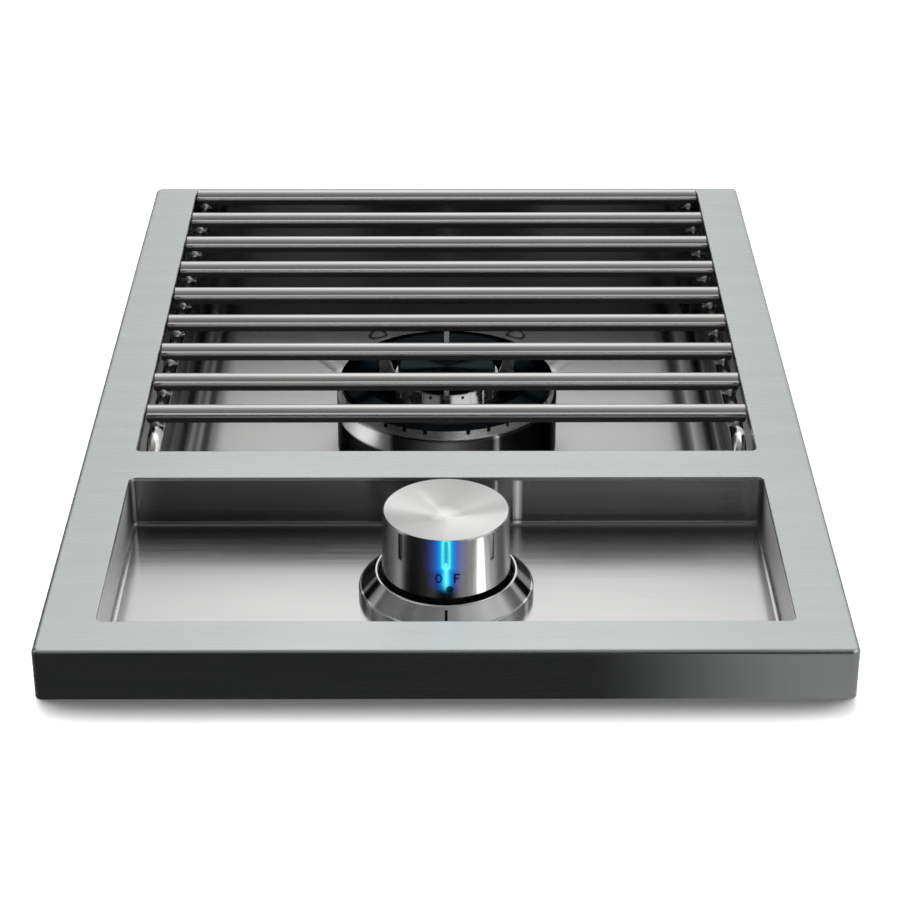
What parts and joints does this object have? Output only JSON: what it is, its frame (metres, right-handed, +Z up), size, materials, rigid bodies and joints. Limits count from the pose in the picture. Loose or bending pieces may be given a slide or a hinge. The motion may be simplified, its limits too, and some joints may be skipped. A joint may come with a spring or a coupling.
{
  "type": "built-in side burner",
  "caption": "Drop-in gas side burner with a steel trim frame, round-bar grate, round burner in a bent well and a lit knob in a tray.",
  "frame": {"origin": "on the bottom of the casing, under the middle of the trim frame", "axes": "+X to the user's right, +Y away from the user, +Z up"},
  "size_m": [0.305, 0.447, 0.1652],
  "materials": {
    "frame_steel": "long straight grain, satin",
    "well_steel": "bright rolled sheet",
    "casing_steel": "plain rolled sheet",
    "screws": "plated",
    "rod_steel": "drawn round bar, polished",
    "burner_steel": "polished",
    "crown_steel": "machined",
    "enamel": "black vitreous enamel",
    "spun_cap": "spun, dark",
    "tube_steel": "drawn tube",
    "brass": "turned",
    "ceramic": "glazed white porcelain",
    "pin_steel": "drawn wire",
    "black_plastic": "moulded",
    "lead_rubber": "silicone sleeve",
    "chrome": "mirror polished",
    "light_plastic": "dark clear",
    "board": "lacquered board",
    "valve_metal": "die cast",
    "knob_steel": "spun top, brushed round the side",
    "light_bar": "clear, lit blue"
  },
  "bodies": {
    "frame": {"top_frame": "frame_steel", "control_recess": "frame_steel", "burner_well": "well_steel", "well_front_wall": "well_steel", "well_back_wall": "well_steel", "casing_front": "casing_steel", "casing_back": "casing_steel", "casing_left": "casing_steel", "casing_right": "casing_steel", "casing_bottom": "casing_steel", "heat_divider": "casing_steel", "casing_screws": "screws", "grate_rests": "well_steel", "burner_base": "burner_steel", "burner_crown": "crown_steel", "inner_crown": "crown_steel", "burner_fins": "crown_steel", "venturi_tube": "tube_steel", "jet_nozzle": "brass", "electrode_ceramic": "ceramic", "electrode_pin": "pin_steel", "electrode_clip": "casing_steel", "spark_module": "black_plastic", "igniter_lead": "lead_rubber", "bezel": "chrome", "light_ring": "light_plastic", "led_board": "board", "led_lead": "lead_rubber", "power_socket": "black_plastic", "valve_bracket": "casing_steel", "valve_body": "valve_metal", "valve_nut": "brass", "gas_pipe": "tube_steel", "inlet_fitting": "brass", "inlet_locknut": "brass", "return_spring": "pin_steel"},
    "valve_plug": {"valve_plug": "brass"},
    "knob": {"knob_body": "knob_steel", "knob_light_bars": "light_bar", "valve_stem": "pin_steel"},
    "grate": {"grate_rod_1": "rod_steel", "grate_rod_2": "rod_steel", "grate_rod_3": "rod_steel", "grate_rod_4": "rod_steel", "grate_rod_5": "rod_steel", "grate_rod_6": "rod_steel", "grate_rod_7": "rod_steel", "grate_rod_8": "rod_steel", "grate_rod_9": "rod_steel", "grate_bar_left": "rod_steel", "grate_bar_right": "rod_steel"},
    "burner_cap": {"burner_cap": "enamel"},
    "inner_cap": {"inner_cap": "spun_cap"},
    "air_shutter": {"air_shutter": "tube_steel"}
  },
  "joints": [
    {"name": "knob_turn", "type": "hinge", "parent": "frame", "child": "valve_plug", "pos_m": [0, -0.145, 0.15], "axis": [0, 0, 1], "range_deg": [0, 225]},
    {"name": "knob_push", "type": "slide", "parent": "valve_plug", "child": "knob", "axis": [0, 0, -1], "range_m": [0, 0.003], "stiffness_N_per_m": 1500, "springref_m": -0.003, "deforming": ["return_spring"]},
    {"name": "grate_lift", "type": "slide", "parent": "frame", "child": "grate", "axis": [0, 0, 1], "range_m": [0, 0.08]},
    {"name": "burner_cap_lift", "type": "slide", "parent": "frame", "child": "burner_cap", "axis": [0, 0, 1], "range_m": [0, 0.02]},
    {"name": "inner_cap_lift", "type": "slide", "parent": "frame", "child": "inner_cap", "axis": [0, 0, 1], "range_m": [0, 0.02]},
    {"name": "air_shutter_turn", "type": "hinge", "parent": "frame", "child": "air_shutter", "pos_m": [0, -0.08, 0.053], "axis": [0, 1, 0], "range_deg": [0, 50]}
  ]
}
